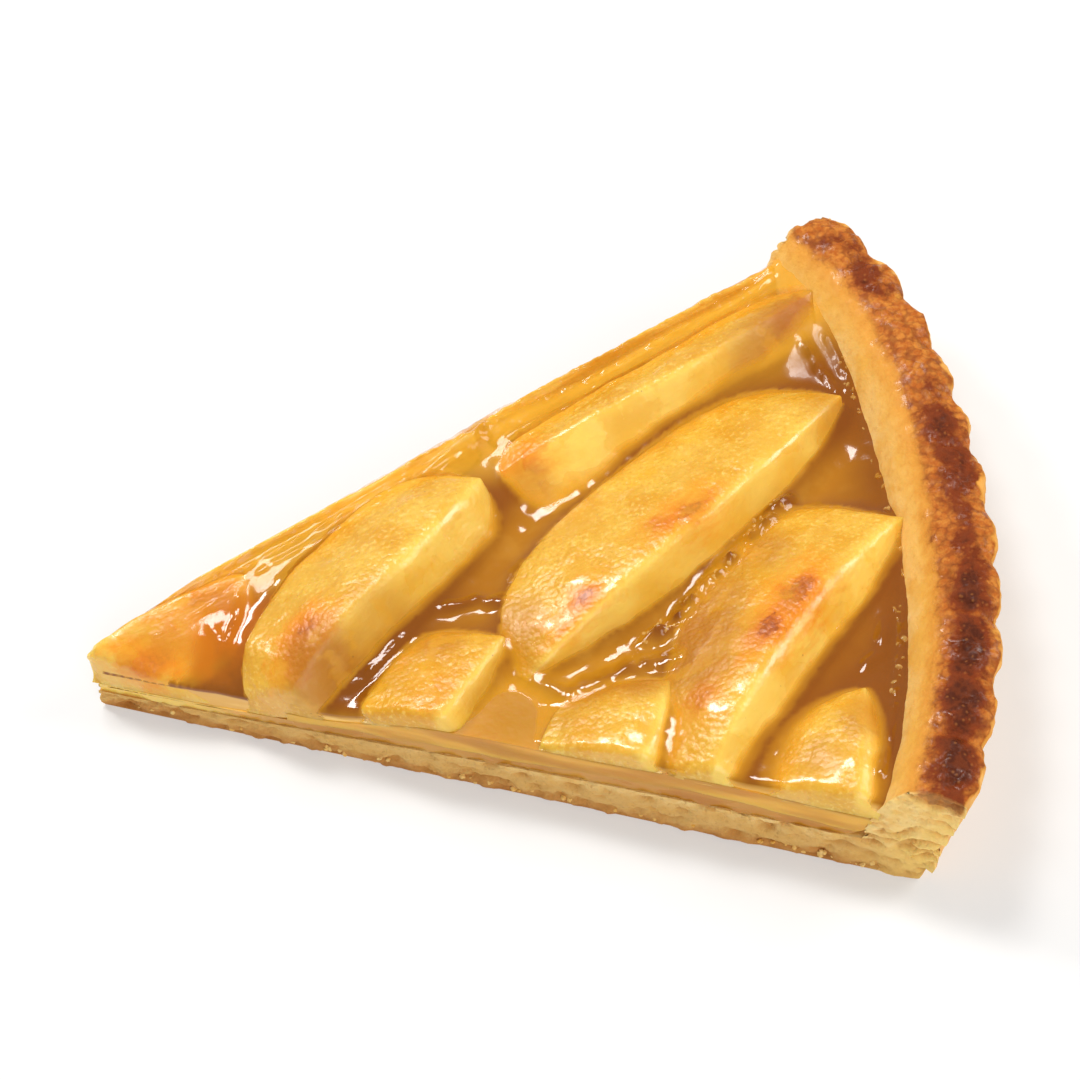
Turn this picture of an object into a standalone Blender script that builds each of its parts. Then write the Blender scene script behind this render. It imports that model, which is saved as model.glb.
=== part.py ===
"""A slice of glazed apple tart: a fluted shortcrust shell, a band of syrup, a layer of cooked fruit, and ten
apple slices lying on it. The slice is a sector of a round tart, with its point at -X and its rim at +X.

Lengths are in millimetres and angles in degrees. to_metres turns them into Blender's units at the end.
"""

import math
import random

import bmesh
import bpy
from mathutils import Matrix, Vector, noise

# The whole slice
TIP_X = -65.4  # the tart's centre, so that the origin is under the middle of the slice
HALF_ANGLE = 25.1  # from the middle line to each cut
RIM_RADIUS = 129.7  # to the middle of the flutes, at the top
BASE_RADIUS = 123.4  # the shell's foot, which the tin's flare leaves smaller
TIP_RADIUS = 1.2  # the point is blunt
GAP = 0.35  # between pieces that touch

# The shell's wall
WALL_TOP = 18.6
CROWN_RISE = 1.7
WALL_ROWS = 9
INNER_FOOT_RADIUS = 114.6
INNER_FOOT_Z = 7.2
FLUTES = 11
STEPS_PER_FLUTE = 5
FLUTE_DEPTH = 1.5
BACK_BULGE = 1.5  # the rim stands out a little near the back cut
BACK_BULGE_ANGLE = 17.0
BACK_BULGE_SPREAD = 9.0
FLAKE_DEPTH = 0.55  # relief of the cut pastry
CROWN_LUMPS = 0.55
PASTRY_LAYERS = 6

# The layers. Near the point there is no fruit layer: the slices lie on a film of syrup on the shell,
# and it stands deep between the first two of them.
BASE_AT_TIP = 3.3
BASE_AT_RIM = 6.8
BASE_RAMP = 90.0
SYRUP_START = 1.4
SYRUP_MOUND = 5.2  # how much higher it stands there
MOUND_RADIUS = 22.5
MOUND_SPREAD = 5.5
FRUIT_START = 34.0
LAYER_RAMP = 18.0  # the layers reach their full thickness over this distance
SYRUP = (0.9, 1.3)  # thickness near the point and when full
FRUIT = (0.9, 2.6)
LAYER_CUTS = (30, 8, 1)

# Each slice of apple. heel and head are the ends of its ridge, ahead of the tart's centre and to the
# left of the middle line. heights are the ridge's, at its heel, middle and head. peeled is the greatest
# width of its peeled side, widest is how far along that is, blunt is how square the two ends are, foot
# is the height of that side's lower edge, and fullness is how round the side is. cut is the width of
# the slope on the other side of the ridge, at its heel, middle and head, and swell is how round that
# slope is. bow is how far the ridge curves to the left. A slice is trimmed by those above it in this
# table.
SLICES = {
    "slice_centre": dict(
        heel=(62.3, -17.6), head=(113.4, 21.4), bow=-2.6, heights=(11.9, 19.2, 16.6),
        peeled=19.0, widest=0.5, blunt=(2.7, 2.9), foot=13.4, fullness=1.7, cut=(1.2, 3.4, 1.6), swell=1.0,
    ),
    "slice_right": dict(
        heel=(82.0, -45.6), head=(118.2, -2.4), bow=2.3, heights=(11.4, 19.2, 16.0),
        peeled=18.6, widest=0.6, blunt=(1.15, 6.0), foot=12.9, fullness=1.7, cut=(3.6, 5.2, 3.4), swell=1.0,
    ),
    "slice_left": dict(
        heel=(24.5, -17.5), head=(60.2, 16.4), bow=-2.5, heights=(5.9, 19.2, 17.2),
        peeled=16.0, widest=0.5, blunt=(1.9, 4.2), foot=13.6, fullness=1.6, cut=(4.6, 4.8, 7.6), swell=0.9,
    ),
    "slice_back": dict(
        heel=(62.6, 18.6), head=(113.4, 42.8), bow=-2.7, heights=(14.6, 18.7, 17.2),
        peeled=7.4, widest=0.55, blunt=(2.6, 3.2), foot=15.6, fullness=1.3, cut=(13.4, 4.6, 8.8), swell=1.1,
    ),
    "slice_front_left": dict(
        heel=(45.4, -27.8), head=(60.2, -10.6), bow=-0.6, heights=(12.0, 14.4, 13.6),
        peeled=13.0, widest=0.42, blunt=(4.5, 4.0), foot=11.6, fullness=1.9, cut=(2.2, 2.4, 1.4), swell=1.0,
    ),
    "slice_front_centre": dict(
        heel=(72.4, -43.4), head=(82.2, -22.4), bow=-0.9, heights=(12.2, 15.4, 13.6),
        peeled=15.6, widest=0.42, blunt=(5.0, 3.4), foot=11.5, fullness=2.0, cut=(2.4, 2.8, 1.4), swell=1.0,
    ),
    "slice_front_right": dict(
        heel=(102.4, -52.4), head=(107.8, -29.6), bow=-1.0, heights=(14.2, 17.2, 14.6),
        peeled=14.4, widest=0.34, blunt=(5.0, 2.2), foot=12.4, fullness=1.9, cut=(5.0, 4.6, 2.0), swell=1.2,
    ),
    "slice_tip": dict(
        heel=(-2.4, -0.4), head=(24.6, 8.0), bow=0.4, heights=(11.4, 13.9, 13.2),
        peeled=3.0, widest=0.5, blunt=(5.0, 5.0), foot=12.0, fullness=1.6, cut=(5.0, 13.0, 15.0), swell=2.0,
    ),
    "strip_near": dict(
        heel=(0.2, 0.8), head=(60.0, 26.4), bow=-0.2, heights=(11.6, 15.4, 16.4),
        peeled=4.2, widest=0.5, blunt=(9.0, 9.0), foot=12.4, fullness=1.5, cut=(2.4, 3.4, 3.4), swell=1.0,
    ),
    "strip_far": dict(
        heel=(61.6, 27.2), head=(114.4, 52.0), bow=0.2, heights=(16.4, 16.8, 15.2),
        peeled=4.0, widest=0.5, blunt=(9.0, 9.0), foot=14.4, fullness=1.5, cut=(2.6, 3.0, 3.0), swell=1.0,
    ),
}
SLICE_CUTS = (15, 5, 3)  # along, across and up
THINNEST_END = 0.1  # of a slice's full width
CUTTER_GROWTH = 0.65  # a cutter's corners move out by this, and its faces by a little less

COLOURS = {
    "pastry": ((0.72, 0.43, 0.16, 1.0), 0.75),
    "syrup": ((0.50, 0.24, 0.04, 1.0), 0.25),
    "fruit_layer": ((0.72, 0.48, 0.14, 1.0), 0.35),
    "apple": ((0.80, 0.55, 0.15, 1.0), 0.3),
}


def to_metres(point):
    return Vector((point[0] + TIP_X, point[1], point[2])) * 0.001


def lerp(a, b, t):
    return a + (b - a) * t


def smooth(t):
    t = min(1.0, max(0.0, t))
    return t * t * (3.0 - 2.0 * t)


def lumps(x, y, z, size):
    """Smooth unevenness from -1 to 1, with lumps about this size across."""
    return noise.noise(Vector((x, y, z)) / size)


def material(name):
    colour, roughness = COLOURS[name]
    made = bpy.data.materials.get(name)
    if made is None:
        made = bpy.data.materials.new(name)
        made.use_nodes = True
        shader = made.node_tree.nodes["Principled BSDF"]
        shader.inputs["Base Color"].default_value = colour
        shader.inputs["Roughness"].default_value = roughness
        shader.inputs["Metallic"].default_value = 0.0
    return made


def block(name, cuts, shape, collection, material_name=None):
    """A cube cut into a grid of faces, with each corner of the unit cube's grid moved to shape(u, v, w)."""
    mesh = bmesh.new()
    bmesh.ops.create_cube(mesh, size=1.0, matrix=Matrix.Translation((0.5, 0.5, 0.5)))
    for axis, pieces in enumerate(cuts):
        along = [e for e in mesh.edges if abs(e.verts[0].co[axis] - e.verts[1].co[axis]) > 1e-5]
        if pieces > 1:
            bmesh.ops.subdivide_edges(mesh, edges=along, cuts=pieces - 1, use_grid_fill=True)
    for corner in mesh.verts:
        corner.co = to_metres(shape(*corner.co))
    if mesh.calc_volume(signed=True) < 0.0:
        bmesh.ops.reverse_faces(mesh, faces=mesh.faces)
    data = bpy.data.meshes.new(name)
    mesh.to_mesh(data)
    mesh.free()
    made = bpy.data.objects.new(name, data)
    collection.objects.link(made)
    if material_name:
        data.materials.append(material(material_name))
        data.shade_smooth()
        data.set_sharp_from_angle(angle=math.radians(38))
    return made


def polar(radius, angle, z):
    turn = math.radians(angle)
    return Vector((radius * math.cos(turn), radius * math.sin(turn), z))


def bulge(angle):
    return BACK_BULGE * math.exp(-(((angle - BACK_BULGE_ANGLE) / BACK_BULGE_SPREAD) ** 2))


def base_top(radius):
    return lerp(BASE_AT_TIP, BASE_AT_RIM, smooth(radius / BASE_RAMP))


def layer_thickness(limits, radius):
    return lerp(limits[0], limits[1], smooth((radius - FRUIT_START) / LAYER_RAMP))


def syrup_top(radius):
    return base_top(radius) + GAP + layer_thickness(SYRUP, radius)


def mounded_syrup_top(radius):
    return syrup_top(radius) + SYRUP_MOUND * math.exp(-(((radius - MOUND_RADIUS) / MOUND_SPREAD) ** 2))


def fruit_top(radius):
    return syrup_top(radius) + GAP + layer_thickness(FRUIT, radius)


def floor(radius):
    """The height that the slices lie at: on the film of syrup near the point, and then on the fruit layer."""
    onto_fruit = smooth((radius - FRUIT_START + 5.0) / 5.0)
    return lerp(syrup_top(radius), fruit_top(max(radius, FRUIT_START)), onto_fruit) + GAP


def inner_wall(z, angle):
    """The radius of the shell's inner wall, which leans out as it rises and rounds over at the crown."""
    height = (z - INNER_FOOT_Z) / (WALL_TOP - INNER_FOOT_Z)
    lean = 2.6 * height + 3.2 * max(0.0, height) ** 3
    return INNER_FOOT_RADIUS + lean + bulge(angle)


def flute(angle, depths):
    """How far a flute stands out at this angle: round bumps that meet in sharp creases."""
    place = (angle + HALF_ANGLE) / (2.0 * HALF_ANGLE) * FLUTES
    which = min(FLUTES - 1, int(place))
    return FLUTE_DEPTH * depths[which] * (math.sin(math.pi * (place - which)) ** 0.75 - 0.6)


def crust_rows():
    """The stations from the point to the crown: (share of the wall's height or None, radius on the base)."""
    on_base = [(None, r) for r in (TIP_RADIUS, 12.0, 24.0, 36.0, 48.0, 60.0, 72.0, 84.0, 96.0)]
    on_wall = [(k / WALL_ROWS, None) for k in range(WALL_ROWS + 1)]
    return on_base + on_wall


def crust_shape(rows, depths):
    """Maps the unit cube to the shell: u runs from the point along the base and up the wall, v from cut
    to cut, and w from the outside to the inside."""

    def station(row, angle):
        share, radius = row
        if share is None:
            return (radius, 0.0), (radius, base_top(radius))
        stands = flute(angle, depths) * lerp(0.35, 1.0, share) + bulge(angle) * share
        leans = BASE_RADIUS + (RIM_RADIUS - BASE_RADIUS) * share**1.15 + stands
        foot = 1.3 * max(0.0, 1.0 - share * WALL_ROWS)  # the bottom corner is rounded off
        outside = (leans - foot, WALL_TOP * share)
        if share < 0.3:
            within = lerp(106.0, INNER_FOOT_RADIUS - 1.2, share / 0.3)
            within += bulge(angle) * share / 0.3
            return outside, (within, lerp(base_top(106.0), INNER_FOOT_Z - 0.3, share / 0.3))
        z = lerp(INNER_FOOT_Z, WALL_TOP + 0.5, (share - 0.3) / 0.7)
        return outside, (inner_wall(z, angle), z)

    def shape(u, v, w):
        place = u * (len(rows) - 1)
        index = min(len(rows) - 2, int(place + 1e-4))
        angle = lerp(-HALF_ANGLE, HALF_ANGLE, v)
        here, there = station(rows[index], angle), station(rows[index + 1], angle)
        t = place - index
        outside = [lerp(a, b, t) for a, b in zip(here[0], there[0])]
        inside = [lerp(a, b, t) for a, b in zip(here[1], there[1])]
        radius, z = lerp(outside[0], inside[0], w), lerp(outside[1], inside[1], w)
        crown = smooth((u - 0.86) / 0.14)
        z += CROWN_RISE * crown * math.sin(math.pi * lerp(0.08, 0.92, w)) ** 0.8
        z += CROWN_LUMPS * crown * (0.3 + 0.7 * w) * lumps(angle * 2.2, w * 6.0, 3.1, 4.4)
        point = polar(radius, angle, z)
        if (v < 1e-4 or v > 1.0 - 1e-4) and 0.0 < w < 1.0:
            outward = -1.0 if v < 0.5 else 1.0
            flakes = lumps(radius * 0.35, z * 1.6, outward * 7.0, 1.9) - 0.35
            point += polar(1.0, angle + 90.0, 0.0) * outward * FLAKE_DEPTH * flakes
        return point

    return shape


def layer_shape(bottom, top, start):
    """Maps the unit cube to a layer that fills the shell between two heights."""

    def shape(u, v, w):
        angle = lerp(-HALF_ANGLE, HALF_ANGLE, v)
        reach = 112.0
        along = lerp(start, reach, u)
        z = lerp(bottom(along) + GAP, top(along), w)
        rounded = 3.0 * max(0.0, 1.0 - (z - base_top(reach)) / 2.4)
        edge = inner_wall(max(z, INNER_FOOT_Z), angle) - rounded - GAP
        return polar(lerp(start, edge, u), angle, z)

    return shape


def through(values, u):
    """A smooth line through three values, at 0, a half and 1."""
    first, middle, last = values
    return first + (4.0 * middle - 3.0 * first - last) * u + 2.0 * (first + last - 2.0 * middle) * u * u


def fading(u, centre, squareness):
    """From 0 at the ends to 1 at the centre, squarer for a larger exponent at that end."""
    away = (centre - u) / centre if u < centre else (u - centre) / (1.0 - centre)
    exponent = squareness[0] if u < centre else squareness[1]
    return max(0.0, 1.0 - min(1.0, away) ** exponent) ** 0.62


def slice_shape(facts):
    """Maps the unit cube to an apple slice: u runs along it from heel to head, v across it from the lower
    edge of its peeled side to its ridge, and w up."""
    heel, head = Vector(facts["heel"]), Vector(facts["head"])
    along = (head - heel).normalized()
    left = Vector((-along.y, along.x))

    def shape(u, v, w):
        ridge = facts["bow"] * 4.0 * u * (1.0 - u)
        peeled = ridge + facts["peeled"] * lerp(THINNEST_END, 1.0, fading(u, facts["widest"], facts["blunt"]))
        cut = ridge - through(facts["cut"], u) * lerp(0.2, 1.0, fading(u, 0.5, (9.0, 9.0)))
        at_heel, at_middle, at_head = facts["heights"]
        end = at_heel if u < 0.5 else at_head
        ridge_z = lerp(at_middle, end, abs(2.0 * u - 1.0) ** 2.6)
        foot_z = min(facts["foot"], ridge_z - 0.8)
        upper = lerp(peeled, ridge, v)
        lower = lerp(peeled, cut, v)
        top_z = lerp(foot_z, ridge_z, 1.0 - (1.0 - v) ** facts["fullness"])
        place = heel.lerp(head, u) + left * lerp(lower, upper, w ** facts["swell"])
        bottom_z = floor(place.length)
        return Vector((place.x, place.y, lerp(bottom_z, max(top_z, bottom_z + 0.8), w)))

    return shape


def grown(made, collection):
    """A copy of an object with each corner moved out along its normal, to cut what it touches clear of it."""
    mesh = bmesh.new()
    mesh.from_mesh(made.data)
    mesh.normal_update()
    moves = [corner.normal * CUTTER_GROWTH * 0.001 for corner in mesh.verts]
    for corner, move in zip(mesh.verts, moves):
        corner.co += move
    data = bpy.data.meshes.new(made.name + "_cutter")
    mesh.to_mesh(data)
    mesh.free()
    cutter = bpy.data.objects.new(data.name, data)
    collection.objects.link(cutter)
    return cutter


def cut_with(made, cutter, operation):
    modifier = made.modifiers.new(operation.lower(), "BOOLEAN")
    modifier.operation = operation
    modifier.solver = "EXACT"
    modifier.object = cutter


def near(first, second):
    """Whether two objects' boxes overlap, so that one may need trimming by the other."""
    boxes = []
    for made in (first, second):
        corners = [Vector(c) for c in made.bound_box]
        boxes.append((Vector(map(min, *corners)), Vector(map(max, *corners))))
    (low_a, high_a), (low_b, high_b) = boxes
    return all(low_a[i] < high_b[i] and low_b[i] < high_a[i] for i in range(3))


def clear_scene():
    for old in list(bpy.data.objects):
        bpy.data.objects.remove(old)


def new_collection(name):
    made = bpy.data.collections.new(name)
    bpy.context.scene.collection.children.link(made)
    return made


def build():
    clear_scene()
    tart = new_collection("apple_tart_slice")
    cutters = new_collection("cutters")
    draw = random.Random(7)
    depths = [draw.uniform(0.75, 1.15) for _ in range(FLUTES)]
    rows = crust_rows()
    crust_cuts = (len(rows) - 1, FLUTES * STEPS_PER_FLUTE, PASTRY_LAYERS)
    block("crust", crust_cuts, crust_shape(rows, depths), tart, "pastry")
    syrup = layer_shape(base_top, mounded_syrup_top, SYRUP_START)
    fruit = layer_shape(syrup_top, fruit_top, FRUIT_START)
    layers = [
        block("syrup_layer", LAYER_CUTS, syrup, tart, "syrup"),
        block("fruit_layer", LAYER_CUTS, fruit, tart, "fruit_layer"),
    ]

    def interior(u, v, w):
        z = lerp(0.0, 26.0, w)
        angle = lerp(-HALF_ANGLE, HALF_ANGLE, v)
        return polar(lerp(0.6, inner_wall(z, angle) - GAP, u), angle, z)

    inside = block("inside_of_shell", (6, 12, 14), interior, cutters)
    earlier = []
    for name, facts in SLICES.items():
        made = block(name, SLICE_CUTS, slice_shape(facts), tart, "apple")
        earlier.append(grown(made, cutters))
        cut_with(made, inside, "INTERSECT")
        for cutter in earlier[:-1]:
            if near(made, cutter):
                cut_with(made, cutter, "DIFFERENCE")
    for layer in layers:
        for cutter in earlier:
            if cutter.name.startswith(("slice_left", "slice_tip", "strip_near")):
                cut_with(layer, cutter, "DIFFERENCE")
    for cutter in cutters.objects:
        cutter.hide_render = True
        cutter.display_type = "WIRE"


build()
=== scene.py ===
import math
import random
import bmesh
import bpy
import numpy as np
from mathutils import Matrix, Vector, noise
from mathutils.bvhtree import BVHTree


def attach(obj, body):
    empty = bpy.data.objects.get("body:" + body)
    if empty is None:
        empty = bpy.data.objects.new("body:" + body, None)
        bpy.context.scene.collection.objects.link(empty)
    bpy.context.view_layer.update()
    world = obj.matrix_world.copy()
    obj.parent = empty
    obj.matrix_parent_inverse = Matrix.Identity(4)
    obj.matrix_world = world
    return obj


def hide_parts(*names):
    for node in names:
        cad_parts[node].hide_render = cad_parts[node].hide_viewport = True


# a slice of glazed apple tart: shortcrust, a band of syrup, cooked fruit, thick apple slices and amber jelly
# lengths are in millimetres from the tart's centre until inFrame turns them into metres
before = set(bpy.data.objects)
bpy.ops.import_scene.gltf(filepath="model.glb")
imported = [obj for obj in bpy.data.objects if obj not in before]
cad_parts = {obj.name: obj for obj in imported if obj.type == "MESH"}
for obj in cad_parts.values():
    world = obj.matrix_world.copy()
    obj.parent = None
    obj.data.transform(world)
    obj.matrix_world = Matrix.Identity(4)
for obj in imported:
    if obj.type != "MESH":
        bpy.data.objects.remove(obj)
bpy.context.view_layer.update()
print("frame loaded")


# small helpers

def lerp(a, b, t):
    return a + (b - a) * t


def smooth(t):
    t = min(1.0, max(0.0, t))
    return t * t * (3.0 - 2.0 * t)


def bell(x, centre, spread):
    return math.exp(-(((x - centre) / spread) ** 2))


def lumps(x, y, z, size):
    return noise.noise(Vector((x, y, z)) / size)


def through(values, u):
    # a smooth line through three values, at 0, a half and 1
    first, middle, last = values
    return first + (4.0 * middle - 3.0 * first - last) * u + 2.0 * (first + last - 2.0 * middle) * u * u


tart = dict(
    tipX=-65.4,  # the tart's centre in the frame
    halfAngle=25.1,
    tipRadius=1.2,
    rimRadius=129.7,
    baseRadius=123.4,
    gap=0.35,
)


def inFrame(x, y, z):
    return ((x + tart["tipX"]) * 0.001, y * 0.001, z * 0.001)


def polar(radius, angle, z):
    turn = math.radians(angle)
    return Vector((radius * math.cos(turn), radius * math.sin(turn), z))


# meshes

def linked(name, data):
    made = bpy.data.objects.new(name, data)
    bpy.context.scene.collection.objects.link(made)
    return made


def gridBlock(name, counts, shape, marks=(), coarse=(0, 1)):
    # a block cut into a grid, with each point moved to shape(u, v, w); shape may return marks after the place
    # rows before coarse[0] have only every coarse[1]-th point across, which keeps hidden faces few
    nu, nv, nw = counts
    limit, step = coarse
    points, places, faces = [], {}, []

    def at(i, j, k):
        if (i, j, k) not in places:
            places[(i, j, k)] = len(points)
            points.append(shape(i / nu, j / nv, k / nw))
        return places[(i, j, k)]

    def crossing(i, j, k, wide):  # the points of one row between two columns
        across = 1 if i >= limit else wide
        return [at(i, m, k) for m in range(j, j + wide + 1, across)]

    for k in (0, nw):
        for i in range(nu):
            wide = step if i < limit else 1
            for j in range(0, nv, wide):
                faces.append(crossing(i, j, k, wide) + crossing(i + 1, j, k, wide)[::-1])
    for j in (0, nv):
        for i in range(nu):
            for k in range(nw):
                faces.append([at(i, j, k), at(i + 1, j, k), at(i + 1, j, k + 1), at(i, j, k + 1)])
    for i in (0, nu):
        wide = step if i < limit else 1
        for j in range(0, nv, wide):
            for k in range(nw):
                faces.append([at(i, j, k), at(i, j + wide, k), at(i, j + wide, k + 1), at(i, j, k + 1)])
    mesh = bmesh.new()
    layers = [mesh.verts.layers.float.new(mark) for mark in marks]
    for point in points:
        corner = mesh.verts.new(inFrame(*point[:3]))
        for layer, value in zip(layers, point[3:]):
            corner[layer] = value
    mesh.verts.ensure_lookup_table()
    for face in faces:
        mesh.faces.new([mesh.verts[place] for place in face])
    faceOut(mesh)
    return mesh


def faceOut(mesh):
    bmesh.ops.recalc_face_normals(mesh, faces=mesh.faces)
    if mesh.calc_volume(signed=True) < 0.0:
        bmesh.ops.reverse_faces(mesh, faces=mesh.faces)
    mesh.normal_update()


def roughen(mesh, depth):
    # moves each point along its normal by depth(x, y, z, corner), all in millimetres
    mesh.normal_update()
    moves = []
    for corner in mesh.verts:
        x, y, z = corner.co * 1000.0
        moves.append(corner.normal * depth(x - tart["tipX"], y, z, corner) * 0.001)
    for corner, move in zip(mesh.verts, moves):
        corner.co += move
    mesh.normal_update()


def soften(mesh, corners, passes):
    axes = dict(use_axis_x=True, use_axis_y=True, use_axis_z=True)
    for _ in range(passes):
        bmesh.ops.smooth_vert(mesh, verts=corners, factor=0.5, **axes)


def cutDirection(side):
    # points out of the front (-1) or back (+1) cut of the slice
    angle = math.radians(tart["halfAngle"]) * side
    return Vector((-math.sin(angle), math.cos(angle), 0.0)) * side


def shoulder(inside, radius):
    # how far a surface drops towards a rounded edge, from its distance inside the cut
    t = min(radius, max(0.0, inside))
    return radius - math.sqrt(radius * radius - (radius - t) ** 2)


def cutFlat(mesh, side, proud, rounding):
    # trims a mesh at one cut and closes it there, with its edge rounded over
    out = cutDirection(side)
    tip = Vector(inFrame(0.0, 0.0, 0.0))
    mesh.normal_update()
    moves = []
    for corner in mesh.verts:
        inside = proud - (corner.co - tip).dot(out) * 1000.0
        level = corner.normal - out * corner.normal.dot(out)
        moves.append(-level * shoulder(inside, rounding) * 0.001 if inside < rounding else None)
    for corner, move in zip(mesh.verts, moves):
        if move is not None and corner.normal.z > -0.3:
            corner.co += move
    everything = mesh.verts[:] + mesh.edges[:] + mesh.faces[:]
    plane = dict(plane_co=tip + out * proud * 0.001, plane_no=out, clear_outer=True)
    cut = bmesh.ops.bisect_plane(mesh, geom=everything, dist=1e-7, **plane)
    rim = [part for part in cut["geom_cut"] if isinstance(part, bmesh.types.BMEdge)]
    if rim:
        filled = bmesh.ops.holes_fill(mesh, edges=rim, sides=0)
        bmesh.ops.triangulate(mesh, faces=filled["faces"])


def finishPiece(name, mesh, material, nodes=()):
    data = bpy.data.meshes.new(name)
    mesh.to_mesh(data)
    mesh.free()
    piece = linked(name, data)
    data.materials.append(material)
    data.shade_smooth()
    data.set_sharp_from_angle(angle=math.radians(50))
    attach(piece, "root")
    if nodes:
        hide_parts(*nodes)
    return piece


# shader building

class Wire:
    # a node's output, which takes part in plain arithmetic
    def __init__(self, finish, socket):
        self.finish = finish
        self.socket = socket

    def sum(self, operation, *values):
        return self.finish.node("ShaderNodeMath", {"operation": operation}, dict(enumerate(values)))

    def __add__(self, other):
        return self.sum("ADD", self, other)

    def __radd__(self, other):
        return self.sum("ADD", other, self)

    def __sub__(self, other):
        return self.sum("SUBTRACT", self, other)

    def __rsub__(self, other):
        return self.sum("SUBTRACT", other, self)

    def __mul__(self, other):
        return self.sum("MULTIPLY", self, other)

    def __rmul__(self, other):
        return self.sum("MULTIPLY", other, self)

    def least(self, other):
        return self.sum("MINIMUM", self, other)

    def most(self, other):
        return self.sum("MAXIMUM", self, other)

    def between(self, low, high):  # 0 below low, 1 above high, and smooth from one to the other
        sockets = {"Value": self, "From Min": low, "From Max": high}
        return self.finish.node("ShaderNodeMapRange", {"interpolation_type": "SMOOTHSTEP"}, sockets)


class Finish:
    # one material, and the one method that adds any node to it
    def __init__(self, name, subsurface=0.0, subsurfaceRadius=(1.0, 0.5, 0.2), **fixed):
        self.material = bpy.data.materials.new(name)
        self.material.use_nodes = True
        self.tree = self.material.node_tree
        self.shader = self.tree.nodes["Principled BSDF"]
        self.shader.inputs["Subsurface Weight"].default_value = subsurface
        self.shader.inputs["Subsurface Radius"].default_value = subsurfaceRadius
        self.shader.inputs["Subsurface Scale"].default_value = 0.001
        self.shader.inputs["Specular IOR Level"].default_value = 0.25
        self.shader.inputs["Coat IOR"].default_value = 1.36
        for socket, value in fixed.items():
            self.shader.inputs[socket.replace("_", " ")].default_value = value
        self.place = self.node("ShaderNodeTexCoord", {}, {}, "Object")

    def node(self, kind, settings, sockets, output=0):
        made = self.tree.nodes.new(kind)
        for setting, value in settings.items():
            setattr(made, setting, value)
        for socket, value in sockets.items():
            if isinstance(value, Wire):
                self.tree.links.new(value.socket, made.inputs[socket])
            else:
                made.inputs[socket].default_value = value
        return Wire(self, made.outputs[output])

    def mark(self, name):
        return self.node("ShaderNodeAttribute", {"attribute_name": name}, {}, "Fac")

    def turned(self, size, turn=0.0, stretch=(1.0, 1.0, 1.0), centre=(0.0, 0.0, 0.0)):
        # coordinates in units of size millimetres, with their first axis turned by this many degrees
        scale = tuple(size * part * 0.001 for part in stretch)
        rotation = (0.0, 0.0, math.radians(turn))
        sockets = {"Vector": self.place, "Location": centre, "Rotation": rotation, "Scale": scale}
        return self.node("ShaderNodeMapping", {"vector_type": "TEXTURE"}, sockets)

    def grain(self, size, detail=3.0, roughness=0.55, stretch=(1.0, 1.0, 1.0), turn=0.0, shift=0.0):
        # noise from 0 to 1 with lumps of this size in millimetres
        moved = self.turned(size, turn, stretch, (shift * 0.001, shift * 0.001, 0.0))
        sockets = {"Vector": moved, "Scale": 1.0, "Detail": detail, "Roughness": roughness}
        return self.node("ShaderNodeTexNoise", {}, sockets, "Fac")

    def cells(self, size):
        # how far it is to the middle of the nearest cell, in cells of this size in millimetres
        sockets = {"Vector": self.place, "Scale": 1000.0 / size}
        return self.node("ShaderNodeTexVoronoi", {}, sockets, "Distance")

    def mix(self, mask, first, second):
        first, second = [(*c, 1.0) if isinstance(c, tuple) else c for c in (first, second)]
        settings = {"data_type": "RGBA", "clamp_factor": True}
        return self.node("ShaderNodeMix", settings, {0: mask, 6: first, 7: second}, 2)

    def spot(self, x, y, z, radius, ragged, turn=0.0, long=1.0):
        # 1 at a place in the tart's own millimetres, fading to 0 at the radius, with a ragged edge
        local = self.turned(radius, turn, (long, 1.0, 1.6), inFrame(x, y, z))
        away = self.node("ShaderNodeVectorMath", {"operation": "LENGTH"}, {0: local}, "Value")
        return 1.0 - (away + (ragged - 0.5) * 1.3).between(0.15, 1.0)

    def connect(self, bump=None, strength=0.5, distance=0.001, **sockets):
        for socket, value in sockets.items():
            target = self.shader.inputs[socket.replace("_", " ")]
            self.tree.links.new(value.socket, target)
        if bump is not None:
            relief = {"Height": bump, "Strength": strength, "Distance": distance}
            normal = self.node("ShaderNodeBump", {}, relief)
            self.tree.links.new(normal.socket, self.shader.inputs["Normal"])
        return self.material


# shortcrust shell

crust = dict(
    wallTop=18.6,
    crownRise=1.7,
    innerFootRadius=114.6,
    innerFootZ=7.2,
    innerLean=2.6,
    innerFlare=3.2,
    flutes=11,
    fluteDepth=1.5,
    backBulge=(1.5, 17.0, 9.0),  # how far, at which angle, and how wide
    baseAtTip=3.3,
    baseAtRim=6.8,
    baseRamp=90.0,
    baseEnd=96.0,  # the base's rows end here and turn up into the wall's
    cornerRadius=106.0,  # the inside begins to rise here
    cornerShare=0.3,  # and meets the inner wall at this share of its height
    baseRows=170,
    turnRows=22,
    wallRows=56,
    stepsPerFlute=24,
    layers=20,
    blisterDepth=0.7,
    blisterSize=4.2,
    softAbove=15.0,  # the crown's edges are rounded off from this height
    softening=9,  # in this many passes
    # where the browning begins, by angle
    brownFrom=(
        (-25, 122.0), (-14, 121.2), (-4, 121.0), (3, 121.8),
        (9, 122.8), (14, 123.4), (19, 123.6), (25, 122.6),
    ),
    brownTo=129.2,
    scorchedAt=125.8,
    seed=7,
)
fluteDraw = random.Random(crust["seed"])
fluteDepths = [fluteDraw.uniform(0.75, 1.15) for _ in range(crust["flutes"])]


def bulge(angle):
    far, centre, spread = crust["backBulge"]
    return far * bell(angle, centre, spread)


def baseTop(radius):
    return lerp(crust["baseAtTip"], crust["baseAtRim"], smooth(radius / crust["baseRamp"]))


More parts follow.
